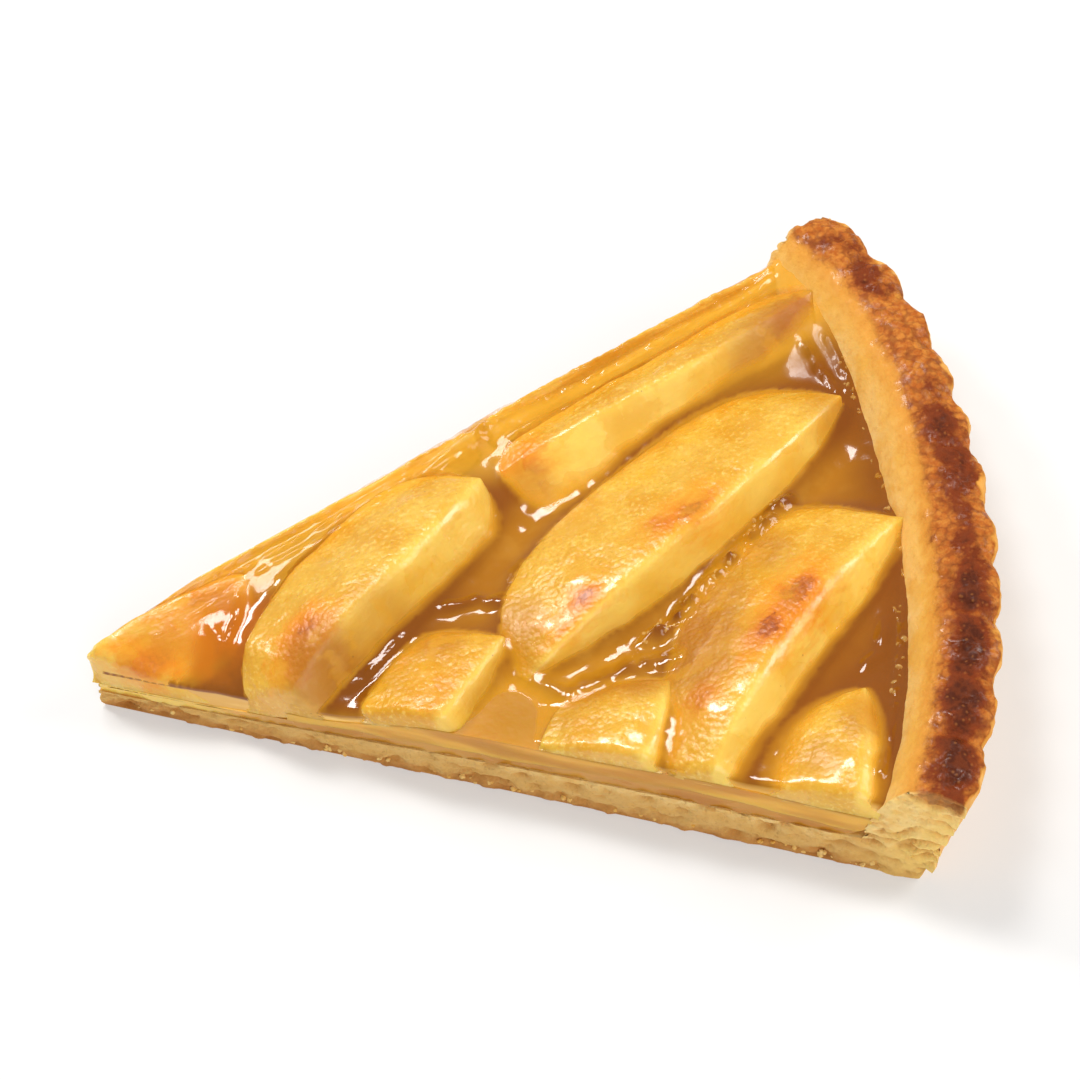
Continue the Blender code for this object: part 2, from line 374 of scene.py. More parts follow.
def innerWall(z, angle):
    height = (z - crust["innerFootZ"]) / (crust["wallTop"] - crust["innerFootZ"])
    leaning = crust["innerFootRadius"] + crust["innerLean"] * height
    return leaning + crust["innerFlare"] * max(0.0, height) ** 3 + bulge(angle)


def fluteAt(angle):
    # how far across its flute an angle lies, from 0 to 1, and that flute's depth
    place = (angle + tart["halfAngle"]) / (2.0 * tart["halfAngle"]) * crust["flutes"]
    which = min(crust["flutes"] - 1, int(place))
    return place - which, crust["fluteDepth"] * fluteDepths[which]


def crustStation(kind, value, angle):
    # the outside and inside of the shell at one row, as (radius, height)
    if kind == "base":
        return (value, 0.0), (value, baseTop(value))
    if kind == "turn":
        low = crustStation("base", crust["baseEnd"], angle)
        high = crustStation("wall", 0.0, angle)
        return tuple(tuple(lerp(a, b, value) for a, b in zip(p, q)) for p, q in zip(low, high))
    across, depth = fluteAt(angle)
    scallop = depth * (math.sin(math.pi * across) ** 0.75 - 0.6) * lerp(0.35, 1.0, value)
    stands = scallop + bulge(angle) * value
    lean = tart["baseRadius"] + (tart["rimRadius"] - tart["baseRadius"]) * value ** 1.15 + stands
    outside = (lean - 1.3 * max(0.0, 1.0 - value * 9.0), crust["wallTop"] * value)
    corner = crust["cornerShare"]
    if value < corner:
        share, start = value / corner, crust["cornerRadius"]
        within = lerp(start, crust["innerFootRadius"] - 1.2, share) + bulge(angle) * share
        return outside, (within, lerp(baseTop(start), crust["innerFootZ"] - 0.3, share))
    z = lerp(crust["innerFootZ"], crust["wallTop"] + 0.5, (value - corner) / (1.0 - corner))
    return outside, (innerWall(z, angle), z)


baseShares = [i / crust["baseRows"] for i in range(crust["baseRows"])]
crustRows = [("base", lerp(tart["tipRadius"], crust["baseEnd"], share)) for share in baseShares]
crustRows += [("turn", i / crust["turnRows"]) for i in range(crust["turnRows"])]
crustRows += [("wall", i / crust["wallRows"]) for i in range(crust["wallRows"] + 1)]


def crumbDepth(radius, y, z):
    # how far the broken crumb stands out of the cut, or lies behind it, in millimetres
    crumb = 0.36 * lumps(radius * 0.6, z, y * 0.05, 1.5) + 0.26 * lumps(radius, z * 1.2, 7.0, 0.75)
    line = (z - 0.06 * radius) / 1.9 + 1.3 * lumps(radius * 0.35, z * 0.4, 2.0, 2.6)
    shelf = (1.0 - abs(math.sin(math.pi * line))) ** 2 * smooth((radius - 107.0) / 8.0)
    shelf *= max(0.15, 0.7 + 1.5 * lumps(radius * 0.5, z * 0.5, 6.0, 3.0))
    pits = max(0.0, lumps(radius * 0.6, z * 1.4, 4.0, 1.5) - 0.10)
    seam = 2.2 + 1.4 * lumps(radius, 3.0, 1.0, 4.5)
    torn = bell(z, seam, 0.42) * max(0.0, 0.3 + 1.3 * lumps(radius * 0.6, 9.0, 2.0, 2.0))
    return crumb - 0.9 * shelf - 1.6 * pits - 0.9 * torn * (1.0 - smooth((radius - 104.0) / 8.0))


def crustShape(u, v, w):
    row = round(u * (len(crustRows) - 1))
    kind, value = crustRows[row]
    angle = lerp(-tart["halfAngle"], tart["halfAngle"], v)
    outside, inside = crustStation(kind, value, angle)
    radius, z = lerp(outside[0], inside[0], w), lerp(outside[1], inside[1], w)
    wall = value if kind == "wall" else 0.0
    crown = smooth((wall - 0.62) / 0.38)
    onTop = smooth((wall - 0.8) / 0.18)
    across = fluteAt(angle)[0]
    z += crust["crownRise"] * crown * math.sin(math.pi * lerp(0.08, 0.92, w)) ** 0.8
    z += 0.8 * crown * (1.0 - w) * (math.sin(math.pi * across) - 0.5)
    place = polar(radius, angle, z)
    cut = 1.0 if (v < 1e-4 or v > 1.0 - 1e-4) else 0.0
    start = float(np.interp(angle, *zip(*crust["brownFrom"])))
    onto = smooth((radius - start + 3.0) / 5.6)
    border = crust["brownTo"] + 2.0 * lumps(place.x, place.y, 5.0, 3.0)
    border += 1.2 * lumps(place.x, place.y, 9.0, 1.2)
    unbulged = radius - bulge(angle)
    inward = smooth(w / 0.07)
    browned = onTop * onto * (1.0 - smooth((unbulged - border + 0.6) / 2.2)) * lerp(0.45, 1.0, inward)
    uneven = 0.75 + 0.9 * lumps(angle, 3.0, 0.5, 9.0) - angle * 0.02
    crest = 0.55 + 0.45 * math.sin(math.pi * across)
    darkest = crust["scorchedAt"] + 1.6 * lumps(angle, 8.0, 1.0, 5.0)
    scorched = onTop * bell(unbulged, darkest, 2.6) * crest * uneven * inward
    outward = (1.0 - w) if kind == "wall" else 0.0
    # hollow is painted shade: it darkens the crumb where the cut recedes and the notches between the flutes
    # outside
    notchShade = outward * max(0.0, 1.0 - 1.25 * math.sin(math.pi * across)) * (1.0 - cut)
    hollow = min(1.0, max(0.0, -crumbDepth(radius, place.y, z) / 0.9)) * cut + notchShade
    return (place.x, place.y, place.z, browned, cut, scorched, outward, hollow)


def crustRelief(layers):
    browned, cut, scorched, outward = layers[:4]

    def depth(x, y, z, corner):
        top, sliced = corner[browned], corner[cut]
        if z < 0.25:
            return 0.0
        if sliced > 0.5:
            radius = math.hypot(x, y)
            ragged = 0.5 * lumps(radius, 5.0, 2.0, 2.2) * bell(z, 0.4, 1.2)
            return 0.25 + crumbDepth(radius, y, z) * smooth(z / 0.5) + ragged
        blister = abs(lumps(x, y, z, crust["blisterSize"])) + 0.55 * abs(lumps(x, y, z + 9.0, 1.9))
        crags = 0.34 * lumps(x, y, z + 30.0, 1.0)
        plain = 0.28 * lumps(x, y, z, 7.0) + 0.12 * lumps(x, y, z, 2.1) + 0.06 * lumps(x, y, z, 0.9)
        away = tart["halfAngle"] - abs(math.degrees(math.atan2(y, x)))
        broken = crumbDepth(math.hypot(x, y), y, z) + 0.5 * lumps(x, y, z * 1.4, 1.6)
        plain += 0.6 * bell(away, 0.0, 0.8) * corner[outward] * broken
        craggy = 0.30 * lumps(x, y, z, 1.5) - 0.25 * abs(lumps(x, y, z, 3.0))
        plain += smooth((z - 9.0) / 7.0) * corner[outward] * craggy
        bubbled = crust["blisterDepth"] * (0.8 - 2.0 * blister) + crags
        return lerp(plain, bubbled, top * (0.6 + 0.4 * corner[scorched]))

    return depth


def pastryFinish():
    finish = Finish("pastry", 0.12, (1.6, 0.8, 0.3), Coat_Roughness=0.12, Specular_IOR_Level=0.2)
    browned, cut, scorched = finish.mark("browned"), finish.mark("cut"), finish.mark("scorched")
    outward, hollow = finish.mark("outward"), finish.mark("hollow")
    height = finish.node("ShaderNodeSeparateXYZ", {}, {0: finish.place}, "Z") * 1000.0
    broad, fine = finish.grain(7.0, 4.0), finish.grain(1.2, 5.0, 0.65)
    # pale dough, golden where the oven caught it
    damp = finish.grain(3.0, 4.0, 0.6)
    inner = finish.mix(broad.between(0.35, 0.68), (0.90, 0.57, 0.18), (0.80, 0.42, 0.075))
    inner = finish.mix(damp.between(0.48, 0.64) * 0.6, inner, (0.93, 0.64, 0.25))
    inner = finish.mix((height + (broad - 0.5) * 4.0).between(13.5, 19.0) * 0.75, inner, (0.88, 0.46, 0.075))
    inner = finish.mix((height + (fine - 0.5) * 3.0).between(17.2, 20.0) * 0.6, inner, (0.80, 0.32, 0.035))
    outer = finish.mix(broad.between(0.40, 0.68), (0.95, 0.59, 0.22), (0.89, 0.44, 0.10))
    toasted = (height + (fine - 0.5) * 9.0 + (broad - 0.5) * 7.0).between(13.5, 20.5)
    outer = finish.mix(toasted * 0.7, outer, (0.80, 0.36, 0.06))
    # painted shade in the notches between the flutes
    outer = finish.mix(hollow.between(0.1, 1.0) * 0.55, outer, (0.60, 0.25, 0.05))
    pale = finish.mix(outward.between(0.5, 0.9), inner, outer)
    pale = finish.mix(fine.between(0.50, 0.74) * 0.35, pale, (0.70, 0.33, 0.07))
    # the crown: orange-brown and crusted with small crags, with dark patches along its crest
    patches, crags = finish.grain(3.6, 4.0, 0.62), 1.0 - finish.cells(1.15)
    burnt = scorched * 1.05 + (patches - 0.5) * 2.0 + (fine - 0.5) * 0.8 - 0.02
    crown = finish.mix(fine.between(0.38, 0.66), (0.48, 0.122, 0.013), (0.66, 0.235, 0.034))
    crown = finish.mix(burnt.between(0.10, 0.60), crown, (0.22, 0.036, 0.004))
    crown = finish.mix(burnt.between(0.60, 1.10) * 0.85, crown, (0.070, 0.012, 0.003))
    # painted light and shade on the crags: their tops lighter, the gaps between them darker, following the
    # bump
    crown = finish.mix(crags.between(0.72, 0.95) * 0.3, crown, (0.60, 0.22, 0.05))
    crown = finish.mix((1.0 - crags.between(0.25, 0.55)) * 0.5, crown, (0.20, 0.038, 0.006))
    edge = browned + (patches - 0.5) * 0.7 + (fine - 0.5) * 0.4
    skin = finish.mix(edge.between(0.0, 0.5), pale, (0.76, 0.32, 0.045))
    skin = finish.mix(edge.between(0.38, 0.78), skin, crown)
    # the cut: open pale crumb in flat layers, with a browner floor
    flat = finish.grain(1.7, 5.0, 0.65, stretch=(1.5, 1.5, 0.8))
    crumb = finish.mix(flat.between(0.42, 0.62), (0.97, 0.68, 0.28), (0.93, 0.57, 0.18))
    crumb = finish.mix((1.0 - height.between(4.0, 8.5)) * 0.75, crumb, (0.68, 0.38, 0.10))
    # small pits, sunk in the bump and darkened with painted shade
    pitsAndShade = finish.grain(0.7, 4.0, 0.7)
    crumb = finish.mix(pitsAndShade.between(0.56, 0.66) * 0.4, crumb, (0.50, 0.23, 0.05))
    floor = height + (broad - 0.5) * 4.0 + (fine - 0.5) * 2.4
    crumb = finish.mix((1.0 - floor.between(1.2, 2.6)) * 0.85, crumb, (0.60, 0.27, 0.065))
    crumb = finish.mix((1.0 - floor.between(0.0, 1.2)) * 0.7, crumb, (0.42, 0.16, 0.032))
    # painted light: a brighter patch on the cut by the rim, where the face turns front and down and gets
    # little light
    crumb = finish.mix(finish.spot(117.0, -53.0, 4.0, 17.0, broad) * 0.85, crumb, (1.0, 0.68, 0.20))
    # painted shade where the broken crumb recedes behind the cut
    crumb = finish.mix(hollow.between(0.25, 1.0) * 0.55, crumb, (0.52, 0.23, 0.045))
    colour = finish.mix(cut * (1.0 - edge.between(0.3, 0.8) * 0.8), skin, crumb)
    uncut = 1.0 - cut
    glazed = finish.grain(4.0, 2.0, shift=3.0).between(0.48, 0.60)
    glazed = glazed * (browned + 0.5 - outward * 0.5).least(1.0) * uncut
    bump = fine * 0.5 + finish.grain(0.45, 3.0) * 0.25 + (flat * 0.8 - pitsAndShade * 1.2) * cut
    bump = bump + crags * edge.between(0.3, 0.8) * uncut * 0.9
    rough = 0.72 - glazed * 0.46
    return finish.connect(bump, 0.6, 0.0006, Base_Color=colour, Roughness=rough, Coat_Weight=glazed * 0.3)


pastry = pastryFinish()


def makeCrust():
    marks = ("browned", "cut", "scorched", "outward", "hollow")
    across = crust["flutes"] * crust["stepsPerFlute"]
    coarse = (crust["baseRows"] + crust["turnRows"] - 2, crust["stepsPerFlute"])
    mesh = gridBlock("crustBody", (len(crustRows) - 1, across, crust["layers"]), crustShape, marks, coarse)
    cut = mesh.verts.layers.float["cut"]
    above = crust["softAbove"] * 0.001
    lip = [corner for corner in mesh.verts if corner.co.z > above and corner[cut] < 0.5]
    soften(mesh, lip, crust["softening"])
    roughen(mesh, crustRelief([mesh.verts.layers.float[mark] for mark in marks]))
    piece = finishPiece("crustBody", mesh, pastry, ["crust"])
    print("crust made,", len(piece.data.polygons), "faces")


makeCrust()


# bands of syrup and fruit, which show at both cuts

bands = dict(
    syrupStart=1.4,
    fruitStart=34.0,
    end=114.0,
    ramp=18.0,
    syrup=(0.9, 1.3),
    fruit=(0.9, 2.6),
    counts=(260, 12, 8),
    sink=0.1,
)


def syrupTop(radius):
    thick = lerp(*bands["syrup"], smooth((radius - bands["fruitStart"]) / bands["ramp"]))
    return baseTop(radius) + tart["gap"] + thick


def fruitTop(radius):
    thick = lerp(*bands["fruit"], smooth((radius - bands["fruitStart"]) / bands["ramp"]))
    return syrupTop(radius) + tart["gap"] + thick


def floorAt(radius):
    onto = smooth((radius - bands["fruitStart"] + 5.0) / 5.0)
    return lerp(syrupTop(radius), fruitTop(max(radius, bands["fruitStart"])), onto) + tart["gap"]


def syrupWaves(radius, side):
    # the line between syrup and fruit at a cut
    wave = 0.5 * math.sin(radius / 9.3 + side * 1.7) + 0.5 * lumps(radius, side * 3.0, 2.0, 6.0)
    return syrupTop(radius) + 0.3 + wave * smooth((radius - 30.0) / 12.0)


def fruitWaves(radius, side):
    wave = 0.3 * math.sin(radius / 5.7 + side * 2.4)
    return max(syrupWaves(radius, side) + 0.35, fruitTop(radius) + 0.7 + wave)


def bandShape(bottom, top, start):
    def shape(u, v, w):
        side = 2.0 * v - 1.0
        angle = side * tart["halfAngle"]
        radius = lerp(start, bands["end"], u)
        z = lerp(bottom(radius, side), top(radius, side), w)
        rounded = 3.0 * max(0.0, 1.0 - (z - baseTop(112.0)) / 2.4)
        edge = innerWall(max(z, crust["innerFootZ"]), angle) - rounded
        place = polar(lerp(start, edge + 0.3, u), angle, z)
        if v < 1e-4 or v > 1.0 - 1e-4:
            place -= cutDirection(1 if v > 0.5 else -1) * bands["sink"]
        return (place.x, place.y, place.z, w)

    return shape


def fruitBandFinish():
    finish = Finish("cookedFruit", 0.35, (3.0, 1.4, 0.4), Coat_Weight=0.35, Coat_Roughness=0.15)
    # slices seen end on: long lenses, paler inside and amber along their edges
    lenses = finish.grain(3.4, 2.0, 0.5, stretch=(6.0, 6.0, 1.0))
    colour = finish.mix(lenses.between(0.34, 0.60), (0.60, 0.25, 0.018), (0.84, 0.43, 0.048))
    colour = finish.mix(finish.mark("up").between(0.85, 1.0) * 0.9, colour, (0.55, 0.235, 0.002))
    colour = finish.mix(finish.spot(60.9, -23.2, 11.0, 9.0, lenses) * 0.85, colour, (0.50, 0.21, 0.001))
    bump = finish.grain(1.6, 3.0, stretch=(2.5, 2.5, 1.0)) + lenses
    return finish.connect(bump, 0.25, 0.0006, Base_Color=colour, Roughness=0.32 + lenses * 0.1)


def syrupFinish():
    finish = Finish("setSyrup", 0.3, (2.5, 1.0, 0.3), Coat_Weight=0.4, Coat_Roughness=0.08)
    cloudy = finish.grain(5.0, 3.0, stretch=(2.5, 2.5, 1.0))
    colour = finish.mix(cloudy.between(0.35, 0.65), (0.50, 0.19, 0.012), (0.64, 0.30, 0.045))
    colour = finish.mix(finish.mark("up").between(0.6, 1.0) * 0.6, colour, (0.62, 0.28, 0.035))
    colour = finish.mix(finish.spot(0.0, 0.0, 3.0, 36.0, cloudy), colour, (1.0, 0.61, 0.13))
    return finish.connect(cloudy, 0.2, 0.0006, Base_Color=colour, Roughness=0.2 + cloudy * 0.15)


def makeBands():
    def baseLine(radius, side):
        return baseTop(radius) - 0.12

    def fruitBottom(radius, side):
        return syrupWaves(radius, side) - 0.05

    def uneven(x, y, z, corner):
        return 0.10 * lumps(x, y, z * 2.0, 4.0) + 0.04 * lumps(x, y, z, 1.3)

    syrupShape = bandShape(baseLine, syrupWaves, bands["syrupStart"])
    fruitShape = bandShape(fruitBottom, fruitWaves, bands["fruitStart"] - 3.0)
    for name, shape, finish, node, slot in (
        ("syrupBand", syrupShape, syrupFinish, "syrup_layer", "syrup"),
        ("fruitBand", fruitShape, fruitBandFinish, "fruit_layer", "fruit_layer"),
    ):
        mesh = gridBlock(name, bands["counts"], shape, ("up",))
        roughen(mesh, uneven)
        finishPiece(name, mesh, finish(), [node])
    print("bands made")


makeBands()


# apple slices: the same facts as the solids', with the caramel spots seen on them, and where the jelly
# stains them amber, as (x, y, radius, strength)

slices = {
    "slice_centre": dict(
        heel=(62.3, -17.6), head=(113.4, 21.4), bow=-2.6, heights=(11.9, 19.2, 16.6),
        peeled=19.0, widest=0.5, blunt=(2.7, 2.9), foot=13.4, fullness=1.7, cut=(1.2, 3.4, 1.6), swell=1.0,
        spots=((88.6, 2.4, 3.2, 0.9), (84.0, 1.2, 2.6, 0.6), (71.6, -8.7, 2.6, 0.9), (67.8, -12.6, 2.2, 0.8)),
        amber=((61.6, -9.5, 4.0, 0.5), (112.0, 19.0, 3.5, 0.5)),
    ),
    "slice_right": dict(
        heel=(82.0, -45.6), head=(118.2, -2.4), bow=2.3, heights=(11.4, 19.2, 16.0),
        peeled=18.6, widest=0.6, blunt=(1.15, 6.0), foot=12.9, fullness=1.7, cut=(3.6, 5.2, 3.4), swell=1.0,
        spots=((100.5, -15.6, 4.2, 1.0), (96.0, -20.4, 3.6, 0.9), (85.5, -28.3, 3.4, 0.6)),
        amber=((86.0, -18.5, 6.2, 0.9), (91.0, -10.5, 4.0, 0.6), (98.0, -4.0, 3.6, 0.6)),
    ),
    "slice_left": dict(
        heel=(24.5, -17.5), head=(60.2, 16.4), bow=-2.5, heights=(5.9, 19.2, 17.2),
        peeled=16.0, widest=0.5, blunt=(1.9, 4.2), foot=13.6, fullness=1.6, cut=(4.6, 4.8, 7.6), swell=0.9,
        spots=((31.0, -8.4, 3.6, 1.0), (33.0, -6.2, 2.6, 0.8), (27.6, -12.6, 3.2, 0.5)),
        amber=((35.2, -12.0, 5.0, 0.85), (44.0, -5.0, 4.0, 0.4)),
    ),
    "slice_back": dict(
        heel=(62.6, 18.6), head=(113.4, 42.8), bow=-2.7, heights=(14.6, 18.7, 17.2),
        peeled=7.4, widest=0.55, blunt=(2.6, 3.2), foot=15.2, fullness=1.3, cut=(13.4, 4.6, 8.8), swell=1.1,
        spots=((64.4, 19.4, 2.6, 1.0), (64.8, 18.8, 2.2, 1.0), (67.5, 17.6, 3.0, 0.5)),
        amber=((110.5, 36.5, 6.5, 1.0), (103.0, 31.0, 4.4, 0.7), (66.0, 14.5, 3.4, 0.7)),
    ),
    "slice_front_left": dict(
        heel=(45.4, -27.8), head=(60.2, -10.6), bow=-0.6, heights=(12.0, 14.4, 13.6),
        peeled=13.0, widest=0.42, blunt=(4.5, 4.0), foot=11.6, fullness=1.9, cut=(2.2, 2.4, 1.4), swell=1.0,
        spots=((50.0, -19.0, 3.0, 0.25),),
        amber=((51.3, -8.5, 3.0, 0.6),),
    ),
    "slice_front_centre": dict(
        heel=(72.4, -43.4), head=(82.2, -22.4), bow=-0.9, heights=(12.2, 15.4, 13.6),
        peeled=15.6, widest=0.42, blunt=(5.0, 3.4), foot=11.5, fullness=2.0, cut=(2.4, 2.8, 1.4), swell=1.0,
        spots=(),
        amber=((70.5, -18.5, 4.0, 0.9), (77.5, -21.5, 3.0, 0.8)),
    ),
    "slice_front_right": dict(
        heel=(102.4, -52.4), head=(107.8, -29.6), bow=-1.0, heights=(14.2, 17.2, 14.6),
        peeled=14.4, widest=0.34, blunt=(5.0, 2.2), foot=12.4, fullness=1.9, cut=(5.0, 4.6, 2.0), swell=1.2,
        spots=(),
        amber=((108.8, -36.0, 3.8, 1.0), (100.0, -41.0, 2.6, 0.5)),
    ),
    "slice_tip": dict(
        heel=(-2.4, -0.4), head=(24.6, 8.0), bow=0.4, heights=(11.4, 13.9, 13.2),
        peeled=3.0, widest=0.5, blunt=(5.0, 5.0), foot=12.0, fullness=1.6, cut=(5.0, 13.0, 15.0), swell=2.0,
        spots=((10.4, -2.6, 3.6, 1.0), (7.0, -3.6, 3.6, 0.6), (14.0, 1.5, 4.0, 0.5), (19.0, 4.5, 4.5, 0.7)),
        amber=((23.0, 0.5, 3.4, 0.9),),
    ),
    "strip_near": dict(
        heel=(0.2, 0.8), head=(60.0, 26.4), bow=-0.2, heights=(11.6, 15.4, 16.4),
        peeled=4.2, widest=0.5, blunt=(9.0, 9.0), foot=12.4, fullness=1.5, cut=(2.4, 3.4, 3.4), swell=1.0,
        spots=(),
        amber=(),
    ),
    "strip_far": dict(
        heel=(61.6, 27.2), head=(114.4, 52.0), bow=0.2, heights=(16.4, 16.8, 15.2),
        peeled=4.0, widest=0.5, blunt=(9.0, 9.0), foot=14.4, fullness=1.5, cut=(2.6, 3.0, 3.0), swell=1.0,
        spots=(),
        amber=(),
    ),
}
sliceMesh = dict(
    counts=(120, 34, 14),
    thinnestEnd=0.1,
    softening=12,  # passes that round off the ridge and the ends
    softer=dict(slice_front_left=20, slice_front_centre=26, slice_front_right=20, slice_left=18, slice_tip=8),
    proud=-0.12,
    stripProud=0.05,
    edgeRadius=1.3,
)


def fading(u, centre, squareness):
    away = (centre - u) / centre if u < centre else (u - centre) / (1.0 - centre)
    exponent = squareness[0] if u < centre else squareness[1]
    return max(0.0, 1.0 - min(1.0, away) ** exponent) ** 0.62


def sliceShape(facts):
    heel, head = Vector(facts["heel"]), Vector(facts["head"])
    along = (head - heel).normalized()
    left = Vector((-along.y, along.x))

    def shape(u, v, w):
        u = 0.5 - 0.5 * math.cos(math.pi * lerp(u, 0.5 + math.asin(2.0 * u - 1.0) / math.pi, 0.5))
        ridge = facts["bow"] * 4.0 * u * (1.0 - u)
        thin = sliceMesh["thinnestEnd"]
        peeled = ridge + facts["peeled"] * lerp(thin, 1.0, fading(u, facts["widest"], facts["blunt"]))
        cut = ridge - through(facts["cut"], u) * lerp(0.2, 1.0, fading(u, 0.5, (9.0, 9.0)))
        atHeel, atMiddle, atHead = facts["heights"]
        end = atHeel if u < 0.5 else atHead
        ridgeZ = lerp(atMiddle, end, abs(2.0 * u - 1.0) ** 2.6)
        footZ = min(facts["foot"], ridgeZ - 0.8)
        topZ = lerp(footZ, ridgeZ, 1.0 - (1.0 - v) ** facts["fullness"])
        across = lerp(lerp(peeled, cut, v), lerp(peeled, ridge, v), w ** facts["swell"])
        place = heel.lerp(head, u) + left * across
        low = floorAt(place.length)
        z = lerp(low, max(topZ, low + 0.8), w)
        cutSide = smooth((v - 0.97) / 0.03)
        # nearRidge marks where a painted highlight lies along the ridge
        nearRidge = bell(v, 1.0, 0.09) * (w if v > 0.999 else 1.0) ** 2
        return (place.x, place.y, z, cutSide, nearRidge)

    return shape


def appleFinish(name, facts):
    finish = Finish(name, 0.35, (3.0, 1.6, 0.5), Coat_Roughness=0.07)
    finish.shader.inputs["Specular IOR Level"].default_value = 0.5
    cutSide, nearRidge = finish.mark("cutSide"), finish.mark("nearRidge")
    heel, head = Vector(facts["heel"]), Vector(facts["head"])
    turn = math.degrees(math.atan2(head.y - heel.y, head.x - heel.x))
    broad, veins = finish.grain(9.0, 3.0), finish.grain(2.4, 4.0, turn=turn, stretch=(1.6, 1.0, 1.0))
    mealy = 1.0 - finish.cells(0.9)
    grains = finish.grain(0.62, 2.0, 0.5)
    threads = finish.grain(0.7, 3.0, turn=turn, stretch=(4.0, 1.0, 1.0))
    # the peeled side is golden and mealy, the cut side a clearer yellow with a fine grain along it
    peeled = finish.mix(broad.between(0.36, 0.64), (0.82, 0.475, 0.052), (0.74, 0.345, 0.010))
    peeled = finish.mix(veins.between(0.50, 0.70) * 0.45, peeled, (0.88, 0.56, 0.10))
    peeled = finish.mix(grains.between(0.54, 0.70) * 0.55, peeled, (0.95, 0.67, 0.17))
    peeled = finish.mix((1.0 - grains.between(0.30, 0.46)) * 0.45, peeled, (0.66, 0.32, 0.03))
    sliced = finish.mix(broad.between(0.34, 0.66), (0.95, 0.62, 0.115), (0.88, 0.48, 0.040))
    sliced = finish.mix(threads.between(0.50, 0.72) * 0.3, sliced, (0.82, 0.46, 0.06))
    colour = finish.mix(cutSide, peeled, sliced)
    # painted highlight: a paler line along the ridge
    colour = finish.mix(nearRidge * 0.6, colour, (0.96, 0.70, 0.14))
    ragged = finish.grain(1.9, 5.0, 0.65, turn=turn, stretch=(2.0, 1.0, 1.0))
    for x, y, radius, dark in facts["spots"]:
        lies = facts["heights"][1] - 1.2
        wide = finish.spot(x, y, lies, radius * 1.8, ragged, turn, 1.6) * dark
        colour = finish.mix(wide * 0.95, colour, (0.88, 0.31, 0.006))
        core = finish.spot(x, y, lies, radius, ragged, turn, 1.6) * dark
        colour = finish.mix(core * 0.9, colour, (0.62, 0.13, 0.008))
        darkest = (core - 0.35 + (grains - 0.5)).between(0.2, 0.7)
        colour = finish.mix(darkest * 0.7, colour, (0.28, 0.05, 0.006))
    # low on its sides, away from the front cut, a slice takes on the jelly's colour
    height = finish.node("ShaderNodeSeparateXYZ", {}, {0: finish.place}, "Z") * 1000.0
    front = cutDirection(-1)
    facing = {0: finish.place, 1: tuple(-front)}
    inward = finish.node("ShaderNodeVectorMath", {"operation": "DOT_PRODUCT"}, facing, "Value")
    inward = inward * 1000.0 + Vector(inFrame(0.0, 0.0, 0.0)).dot(front) * 1000.0
    low = (1.0 - (height + (broad - 0.5) * 2.0).between(12.2, 14.8)) * inward.between(1.5, 5.0)
    colour = finish.mix(low * 0.6, colour, (0.62, 0.27, 0.010))
    dry = low * 0.2
    for x, y, radius, strength in facts["amber"]:
        stain = finish.spot(x, y, facts["foot"] + 1.0, radius * 1.7, broad * 0.6 + 0.1) * strength
        colour = finish.mix(stain, colour, (0.48, 0.16, 0.002))
        dry = dry.most(stain)
    pores = 1.0 - finish.cells(3.4).between(0.02, 0.06)
    colour = finish.mix(pores * 0.6, colour, (0.30, 0.13, 0.02))
    glazed = finish.grain(6.0, 3.0, shift=len(name) * 3.0).between(0.50, 0.60)
    colour = finish.mix(glazed * 0.35, colour, (0.84, 0.42, 0.02))
    meal = (grains * 0.5 + mealy * 0.6) * (1.0 - cutSide * 0.7)
    bump = (meal + veins * 0.2 + threads * cutSide * 0.35) * (1.0 - glazed * 0.5)
    rough = 0.22 + broad * 0.2 - glazed * 0.08 + dry * 0.2
    coat = (0.12 + glazed * 0.8) * (1.0 - dry * 0.7)
    return finish.connect(bump, 0.5, 0.0004, Base_Color=colour, Roughness=rough, Coat_Weight=coat)


def stripFinish(name, facts):
    # fruit under a skin of jelly along the back, drawn out in amber and pale lines
    finish = Finish(name, 0.2, (2.5, 1.2, 0.4), Coat_Weight=0.9, Coat_Roughness=0.05)
    turn = tart["halfAngle"]
    lines, broad = finish.grain(1.5, 4.0, turn=turn, stretch=(14.0, 1.0, 1.6)), finish.grain(9.0, 3.0)
    colour = finish.mix(lines.between(0.36, 0.56), (0.72, 0.33, 0.026), (0.92, 0.53, 0.075))
    colour = finish.mix(lines.between(0.56, 0.70) * 0.8, colour, (0.98, 0.74, 0.30))
    colour = finish.mix(broad.between(0.50, 0.75) * 0.4, colour, (0.82, 0.40, 0.035))
    streaks = finish.grain(1.1, 3.0, turn=turn, stretch=(3.0, 1.0, 1.0))
    bump = lines + streaks * 0.6 + (1.0 - finish.cells(1.2)) * 0.35
    return finish.connect(bump, 0.6, 0.0008, Base_Color=colour, Roughness=0.12 + broad * 0.1)


def sliceRelief(seed):
    def depth(x, y, z, corner):
        wide = 0.36 * lumps(x + seed, y, z, 8.0) + 0.20 * lumps(x, y + seed, z, 3.2)
        return wide + 0.06 * lumps(x, y, z + seed, 1.4)

    return depth


def stripRelief(seed):
    # drawn-out ridges with a beaded look, parallel to the back cut
    back = cutDirection(1)

    def depth(x, y, z, corner):
        inside, along = -(x * back.x + y * back.y), x * -back.y + y * back.x
        line = inside + 0.5 * lumps(along, seed, z, 14.0)
        ridges = bell(line, 0.9, 0.45) + bell(line, 2.5, 0.45) + 0.8 * bell(line, 4.0, 0.5)
        beaded = 0.65 + 0.9 * lumps(along, line * 2.0, seed, 1.1)
        return 0.42 * ridges * beaded + 0.25 * lumps(along * 0.4, inside, z, 3.0) - 0.1

    return depth


